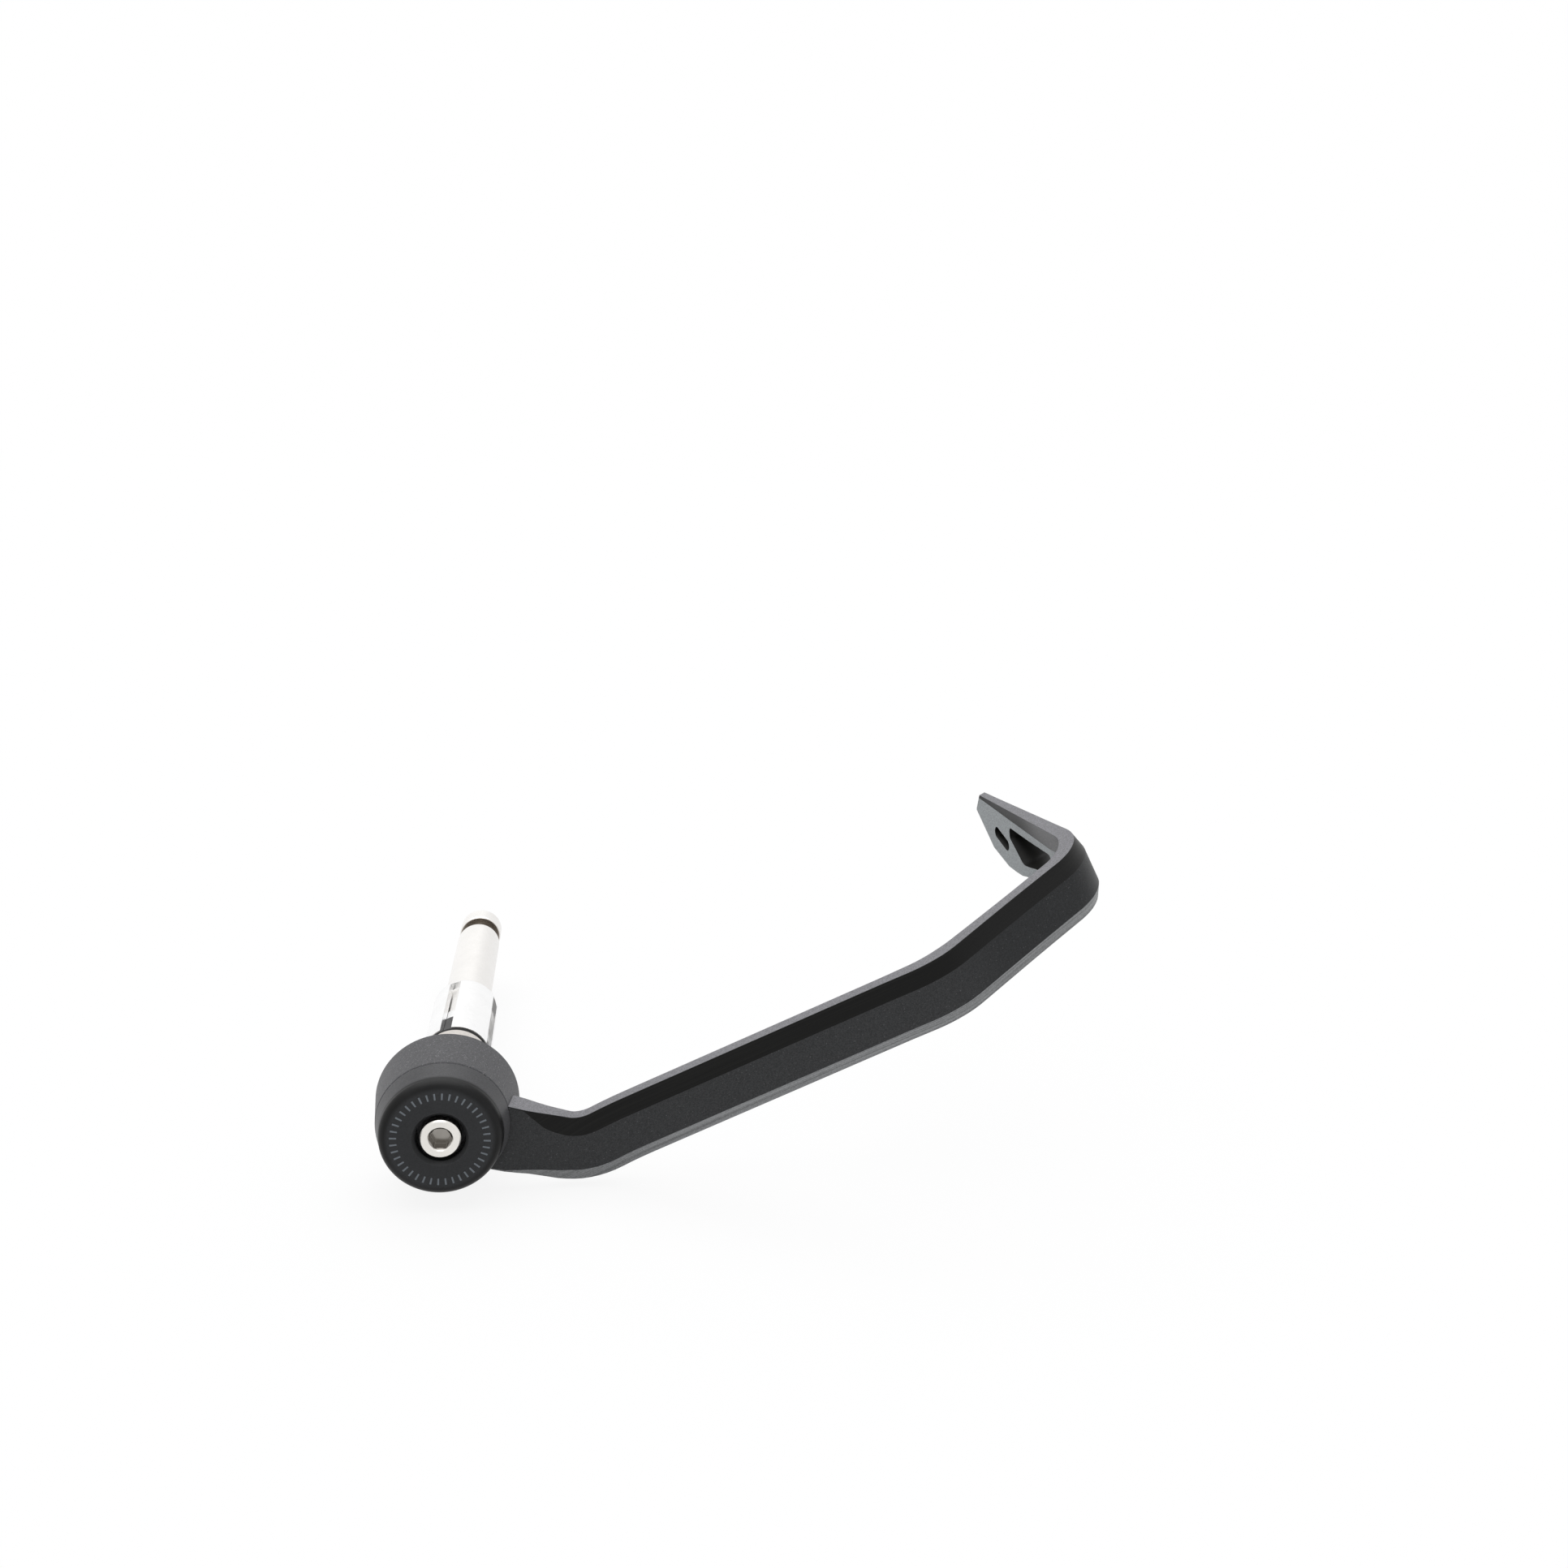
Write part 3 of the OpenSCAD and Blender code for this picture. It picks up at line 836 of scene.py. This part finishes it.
@dataclass
class GuardArm:
    """The arm: a copy of its CAD solid with smooth bends, whose flats are told apart."""

    node: str = "guard_arm"
    name: str = "arm_smooth"
    slot: str = "arm_anodised"
    merge: float = 0.002 * MM
    crease: float = 21.0
    # The root drops by this angle, in degrees, and turns level over these x.
    drop_angle: float = 45.3
    drop_bend: Span = (26.0 * MM, 38.0 * MM)
    eye_end: float = 15.5 * MM
    knee_end: float = 135.0 * MM
    tip_start: float = 12.0 * MM
    tip_end: float = 60.0 * MM
    # A point of the line below the upright band, as y and z, and how z rises with y.
    band_point: Span = (67.0 * MM, -18.7 * MM)
    band_rise: float = 0.0905
    hole_z: Span = (-34.0 * MM, -17.5 * MM)
    # Parts of a face's normal: how far out, how near to lengthwise, and how far up it looks.
    outward: float = 0.1
    lengthwise: float = 0.001
    endward: float = 0.2
    root_lean: float = 0.035
    blade_lean: float = 0.08
    top_lean: float = 0.6
    tip_top_lean: float = 0.9
    chamfer_lean: float = -0.2
    finish: MilledArm = field(default_factory=MilledArm)

    def mesh(self) -> bpy.types.Mesh:
        """Merges the copy's loose triangles and keeps only edges sharper than the crease hard.

        Returns:
            The mesh.
        """
        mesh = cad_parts[self.node].data.copy()
        mesh.name = self.name
        mesh.materials.clear()
        work = bmesh.new()
        work.from_mesh(mesh)
        bmesh.ops.remove_doubles(work, verts=work.verts, dist=self.merge)
        work.to_mesh(mesh)
        work.free()
        for name in ("custom_normal", "sharp_face", "sharp_edge"):
            layer = mesh.attributes.get(name)
            if layer is not None:
                mesh.attributes.remove(layer)
        mesh.shade_smooth()
        mesh.set_sharp_from_angle(angle=math.radians(self.crease))
        mesh.update()
        return mesh

    def masks(self, normal: np.ndarray, centre: np.ndarray) -> dict[Flats, np.ndarray]:
        """Tells each face's milled flat by the way it looks, which places the arm's painted light
        and shade.

        The way up turns from the dropped root's to the blade's over the drop bend, and a face's
        lean is its normal's part along it. A face that leans a little up is the dark facet, one
        that leans down is the chamfer, and one that looks up is the top edge. In the tip, faces
        that look inwards are the leaning flat, or the upright band above its line. Those that
        look neither in nor out are the walls of the holes.

        Args:
            normal: The faces' normals, one in each row.
            centre: The faces' centres, one in each row.

        Returns:
            For each attribute, its three masks as columns.
        """
        x, y, z = centre.T
        start, end = self.drop_bend
        level = np.clip((x - start) / (end - start), 0.0, 1.0)
        turn = math.radians(self.drop_angle) * (1.0 - level)
        up = normal[:, 0] * np.sin(turn) + normal[:, 2] * np.cos(turn)
        past_knee = x > self.knee_end
        outer = np.where(past_knee, normal[:, 0] > self.outward, normal[:, 1] < -self.outward)
        low, high = self.hole_z
        hole = (np.abs(normal[:, 0]) < self.lengthwise) & (z > low) & (z < high)
        hole &= y > self.tip_start
        inner = (y > 0.0) & past_knee & ~outer & ~hole & (up < self.tip_top_lean)
        line_y, line_z = self.band_point
        end_face = (y > self.tip_end) & (normal[:, 1] > self.endward)
        band = inner & ~end_face & (z > line_z + (y - line_y) * self.band_rise)
        lean = np.where(x < start, self.root_lean, self.blade_lean)
        facet = outer & (up > lean) & (up < self.top_lean) & (x > self.eye_end)
        blade = np.column_stack((facet, outer & (up < self.chamfer_lean), up > self.top_lean))
        return {
            Flats.BLADE: blade & ~hole[:, None],
            Flats.TIP: np.column_stack((inner & ~band, band, hole)),
        }

    def mark(self, mesh: bpy.types.Mesh) -> None:
        """Writes the masks into the mesh as face colours.

        Args:
            mesh: The arm's mesh.
        """
        count = len(mesh.polygons)
        normal, centre = np.empty(count * 3), np.empty(count * 3)
        mesh.polygons.foreach_get("normal", normal)
        mesh.polygons.foreach_get("center", centre)
        masks = self.masks(normal.reshape(-1, 3), centre.reshape(-1, 3))
        for flats, columns in masks.items():
            layer = mesh.attributes.new(flats.value, "FLOAT_COLOR", "FACE")
            colours = np.column_stack((columns, np.ones(count))).astype(np.float32)
            layer.data.foreach_set("color", colours.ravel())

    def build(self) -> dict[str, str]:
        """Builds and dresses the arm, which rides on the part's one body instead of its solid.

        Returns:
            The finish of the piece.
        """
        mesh = self.mesh()
        self.mark(mesh)
        material = self.finish.build()
        mesh.materials.append(material)
        piece = bpy.data.objects.new(self.name, mesh)
        bpy.context.scene.collection.objects.link(piece)
        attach(piece, "root")
        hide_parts(self.node)
        return {self.name: material.name}


@dataclass
class BarEnd:
    """Cap, screw and weight."""

    cap: MouldedCap = field(default_factory=MouldedCap)
    weight: TurnedAnodised = field(default_factory=TurnedAnodised)
    # The screw's socket gets painted shade.
    screw: BrightMetal = BrightMetal(
        "screw_steel", base=(0.82, 0.80, 0.76), roughness=0.2, hollow=2.95 * MM)

    def build(self) -> dict[str, str]:
        """Dresses the three nodes.

        Returns:
            The finish of each node.
        """
        return dress({
            "end_cap": self.cap.build(),
            "bar_weight": self.weight.build(),
            "cap_screw": self.screw.build(),
        })


@dataclass
class HandlebarInsert:
    """Everything that sits inside the handlebar tube."""

    bright: BrightMetal = BrightMetal("insert_aluminium", base=(0.985, 0.985, 0.985))
    # The bar has the strongest painted shade on its flanks.
    bar: BrightMetal = BrightMetal("bar_aluminium", base=(0.955, 0.935, 0.910), flank_shade=0.4)
    # The collar is the sleeve's aluminium painted darker, as painted shade where it sits between
    # the ring and the weight.
    collar: BrightMetal = BrightMetal("collar_aluminium_shaded", base=(0.70, 0.66, 0.62))
    rubber: DustyRubber = field(default_factory=DustyRubber)
    cone: DarkCone = field(default_factory=DarkCone)

    def build(self) -> dict[str, str]:
        """Dresses the sleeve and the nut alike, then the bar, the collar, the ring and the cone.

        Returns:
            The finish of each node.
        """
        bright = self.bright.build()
        return dress({
            "clamp_sleeve": bright,
            "cone_nut": bright,
            "damper_bar": self.bar.build(),
            "seat_collar": self.collar.build(),
            "rubber_ring": self.rubber.build(),
            "expander_cone": self.cone.build(),
        })


@dataclass
class Studio:
    """Floor, lamp, world and camera. Right, up and back are the camera's own axes."""

    right: Place = (0.88879, -0.13187, -0.43894)
    up: Place = (0.45818, 0.2316, 0.85816)
    back: Place = (-0.01151, -0.96383, 0.26627)
    centre: Place = (0.109192, -0.360616, 0.133046)
    sensor_mm: float = 36.0
    lens_mm: float = 34.14
    clip_start: float = 0.01
    # The guard lies on its side, so the floor is square to this direction.
    floor_normal: Place = (0.48, 0.0, 0.8773)
    floor_point: Place = (0.020, 0.0, -0.0335)
    floor_half: float = 6.0
    floor_tone: Colour = (0.9, 0.9, 0.9)
    # The share of white in what the camera and reflections see. The rest keeps the shadow.
    floor_white: float = 0.88
    sky: Colour = (0.55, 0.55, 0.561)
    lamp_from: Place = (0.45, 0.15, 1.0)
    lamp_spread: float = 75.0
    lamp_strength: float = 1.8

    def camera(self) -> None:
        """Places the camera of the photograph."""
        data = bpy.data.cameras.new("photo_camera")
        data.sensor_width = self.sensor_mm
        data.sensor_fit = "HORIZONTAL"
        data.lens = self.lens_mm
        data.clip_start = self.clip_start
        camera = bpy.data.objects.new("photo_camera", data)
        columns = Matrix((self.right, self.up, self.back)).transposed().to_4x4()
        camera.matrix_world = Matrix.Translation(Vector(self.centre)) @ columns
        bpy.context.scene.collection.objects.link(camera)
        bpy.context.scene.camera = camera

    def world(self) -> None:
        """Shows white to the camera and to reflections, and lights everything else evenly."""
        world = bpy.data.worlds.new("studio")
        world.use_nodes = True
        bpy.context.scene.world = world
        g = Graph(world.node_tree)
        even = g.wire(g.add("ShaderNodeBackground", Color=self.sky))
        white = g.wire(g.add("ShaderNodeBackground", Color=WHITE))
        both = g.wire(g.add("ShaderNodeMixShader", i0=g.pale(), i1=even, i2=white))
        g.add("ShaderNodeOutputWorld", Surface=both)

    def floor_finish(self) -> bpy.types.Material:
        """Makes the floor's material, mostly white where it is seen and plain where it is lit.

        Returns:
            The material.
        """
        material = bpy.data.materials.new("pale_floor")
        material.use_nodes = True
        g = Graph(material.node_tree)
        lit = g.wire(g.add("ShaderNodeBsdfDiffuse", Color=self.floor_tone))
        white = g.wire(g.add("ShaderNodeEmission", Color=WHITE, Strength=1.0))
        seen = g.pale() * self.floor_white
        both = g.wire(g.add("ShaderNodeMixShader", i0=seen, i1=lit, i2=white))
        g.add("ShaderNodeOutputMaterial", Surface=both)
        return material

    def floor(self) -> None:
        """Lays a plain pale floor under the guard, square to the way it lies."""
        normal = Vector(self.floor_normal).normalized()
        side = Vector((0.0, 1.0, 0.0))
        along = side.cross(normal).normalized()
        at = Vector(self.floor_point)
        signs = ((-1, -1), (1, -1), (1, 1), (-1, 1))
        corners = [at + self.floor_half * (a * along + b * side) for a, b in signs]
        mesh = bpy.data.meshes.new("floor")
        mesh.from_pydata([tuple(corner) for corner in corners], [], [(0, 1, 2, 3)])
        mesh.update()
        mesh.materials.append(self.floor_finish())
        floor = bpy.data.objects.new("floor", mesh)
        bpy.context.scene.collection.objects.link(floor)

    def lamp(self) -> None:
        """Adds the soft far lamp: its spread in degrees, its light in watts on a square metre."""
        data = bpy.data.lights.new("soft_lamp", "SUN")
        data.angle = math.radians(self.lamp_spread)
        data.energy = self.lamp_strength
        lamp = bpy.data.objects.new("soft_lamp", data)
        lamp.matrix_world = Vector(self.lamp_from).to_track_quat("Z", "Y").to_matrix().to_4x4()
        bpy.context.scene.collection.objects.link(lamp)

    def build(self) -> None:
        """Sets the whole stage."""
        self.camera()
        self.world()
        self.floor()
        self.lamp()
        bpy.context.scene.view_settings.view_transform = "Standard"


def main() -> None:
    """Builds the stage, the bar end, the insert and the arm, and reports each piece."""
    logging.basicConfig(level=logging.INFO, format="%(name)s: %(message)s")
    Studio().build()
    for assembly in (BarEnd(), HandlebarInsert(), GuardArm()):
        for piece, finish in assembly.build().items():
            LOG.info("%s: %s has finish %s", type(assembly).__name__, piece, finish)


if __name__ == "__main__":
    main()
